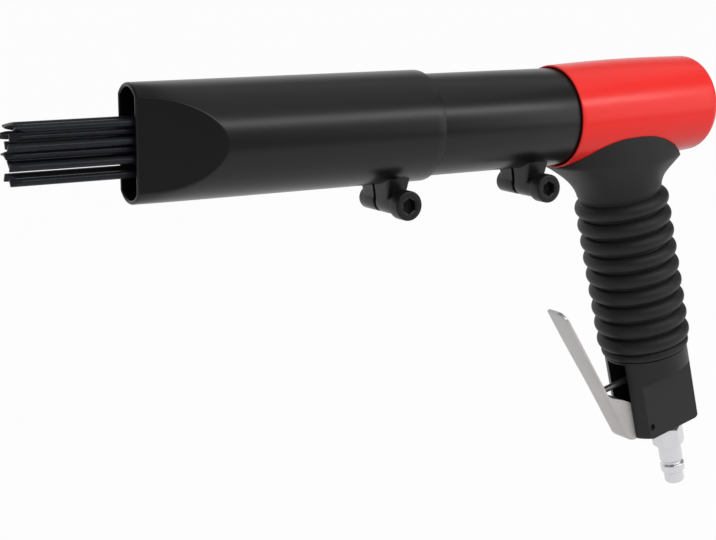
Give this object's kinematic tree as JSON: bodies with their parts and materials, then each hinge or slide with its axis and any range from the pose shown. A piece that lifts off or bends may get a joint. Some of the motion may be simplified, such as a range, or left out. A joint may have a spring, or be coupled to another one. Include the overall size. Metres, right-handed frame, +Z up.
{
  "type": "needle scaler",
  "caption": "Pistol-grip pneumatic needle scaler: loose steel needles in a flattened nose tube, clamped telescoping barrel, rear cover, ribbed grip, throttle lever and air nipple.",
  "frame": {"origin": "on the barrel axis, at the seat where a dust shroud clamps round the front tube", "axes": "+X forward along the barrel towards the needle tips, +Y to the left side, +Z up"},
  "size_m": [0.328, 0.0456, 0.2024],
  "materials": {
    "black_tube": "semi-gloss black enamel on drawn steel tube",
    "red_cover": "glossy red enamel",
    "black_handle": "satin black coating on a casting",
    "grip_rubber": "matt moulded rubber",
    "lever_steel": "satin plated sheet",
    "nipple_zinc": "bright plating",
    "needle_steel": "dark hardened steel, bright where ground",
    "screw_black": "black oxide",
    "inner_steel": "machined",
    "plunger_black": "black oxide",
    "seal_rubber": "matt",
    "brass": "machined"
  },
  "bodies": {
    "body": {"mid_tube": "black_tube", "rear_clamp_screw": "screw_black", "spring_retainer": "inner_steel", "return_spring": "inner_steel", "anvil_buffer": "seal_rubber", "hammer_cylinder": "inner_steel", "valve_plate": "inner_steel", "valve_cap": "inner_steel", "rear_cover": "red_cover", "handle": "black_handle", "grip_sleeve": "grip_rubber", "lever_pin": "inner_steel", "valve_seat": "brass", "plunger_seal": "seal_rubber", "throttle_spring": "inner_steel", "valve_plug": "screw_black", "nipple": "nipple_zinc", "inlet_screen": "brass"},
    "front_tube": {"front_tube": "black_tube", "front_clamp_screw": "screw_black"},
    "needle_holder": {"needle_holder": "inner_steel"},
    "anvil": {"anvil": "inner_steel"},
    "piston": {"piston": "inner_steel"},
    "valve_disc": {"valve_disc": "inner_steel"},
    "lever": {"lever": "lever_steel"},
    "valve_plunger": {"valve_plunger": "plunger_black"},
    "needle_01": {"needle_01": "needle_steel"},
    "needle_02": {"needle_02": "needle_steel"},
    "needle_03": {"needle_03": "needle_steel"},
    "needle_04": {"needle_04": "needle_steel"},
    "needle_05": {"needle_05": "needle_steel"},
    "needle_06": {"needle_06": "needle_steel"},
    "needle_07": {"needle_07": "needle_steel"},
    "needle_08": {"needle_08": "needle_steel"},
    "needle_09": {"needle_09": "needle_steel"},
    "needle_10": {"needle_10": "needle_steel"},
    "needle_11": {"needle_11": "needle_steel"},
    "needle_12": {"needle_12": "needle_steel"}
  },
  "joints": [
    {"name": "front_tube_slide", "type": "slide", "parent": "body", "child": "front_tube", "axis": [1, 0, 0], "range_m": [-0.025, 0.01]},
    {"name": "holder_slide", "type": "slide", "parent": "body", "child": "needle_holder", "axis": [1, 0, 0], "range_m": [0, 0.008], "stiffness_N_per_m": 1500, "springref_m": -0.006, "deforming": ["return_spring"]},
    {"name": "anvil_slide", "type": "slide", "parent": "body", "child": "anvil", "axis": [1, 0, 0], "range_m": [0, 0.008]},
    {"name": "piston_slide", "type": "slide", "parent": "body", "child": "piston", "axis": [1, 0, 0], "range_m": [0, 0.03]},
    {"name": "valve_disc_slide", "type": "slide", "parent": "body", "child": "valve_disc", "axis": [1, 0, 0], "range_m": [0, 0.0009]},
    {"name": "lever_pivot", "type": "hinge", "parent": "body", "child": "lever", "pos_m": [-0.17415, 0, -0.144], "axis": [0, -1, 0], "range_deg": [0, 13], "stiffness_Nm_per_rad": 0.4, "springref_deg": -14.32},
    {"name": "plunger_slide", "type": "slide", "parent": "body", "child": "valve_plunger", "axis": [-0.9707, 0, 0.2402], "range_m": [0, 0.006], "deforming": ["throttle_spring"]},
    {"name": "needle_01_slide", "type": "slide", "parent": "needle_holder", "child": "needle_01", "axis": [1, 0, 0], "range_m": [-0.00029, 0.00331]},
    {"name": "needle_02_slide", "type": "slide", "parent": "needle_holder", "child": "needle_02", "axis": [1, 0, 0], "range_m": [-0.00144, 0.00216]},
    {"name": "needle_03_slide", "type": "slide", "parent": "needle_holder", "child": "needle_03", "axis": [1, 0, 0], "range_m": [-0.00288, 0.00072]},
    {"name": "needle_04_slide", "type": "slide", "parent": "needle_holder", "child": "needle_04", "axis": [1, 0, 0], "range_m": [-0.00331, 0.00029]},
    {"name": "needle_05_slide", "type": "slide", "parent": "needle_holder", "child": "needle_05", "axis": [1, 0, 0], "range_m": [-0.00252, 0.00108]},
    {"name": "needle_06_slide", "type": "slide", "parent": "needle_holder", "child": "needle_06", "axis": [1, 0, 0], "range_m": [-0.0018, 0.0018]},
    {"name": "needle_07_slide", "type": "slide", "parent": "needle_holder", "child": "needle_07", "axis": [1, 0, 0], "range_m": [-0.00198, 0.00162]},
    {"name": "needle_08_slide", "type": "slide", "parent": "needle_holder", "child": "needle_08", "axis": [1, 0, 0], "range_m": [-0.0027, 0.0009]},
    {"name": "needle_09_slide", "type": "slide", "parent": "needle_holder", "child": "needle_09", "axis": [1, 0, 0], "range_m": [-0.0018, 0.0018]},
    {"name": "needle_10_slide", "type": "slide", "parent": "needle_holder", "child": "needle_10", "axis": [1, 0, 0], "range_m": [-0.00216, 0.00144]},
    {"name": "needle_11_slide", "type": "slide", "parent": "needle_holder", "child": "needle_11", "axis": [1, 0, 0], "range_m": [-0.0009, 0.0027]},
    {"name": "needle_12_slide", "type": "slide", "parent": "needle_holder", "child": "needle_12", "axis": [1, 0, 0], "range_m": [-0.00162, 0.00198]}
  ],
  "couplings": [
    {"joint": "anvil_slide", "follows": "holder_slide", "ratio": 1},
    {"joint": "plunger_slide", "follows": "lever_pivot", "m_per_rad": 0.0264}
  ]
}
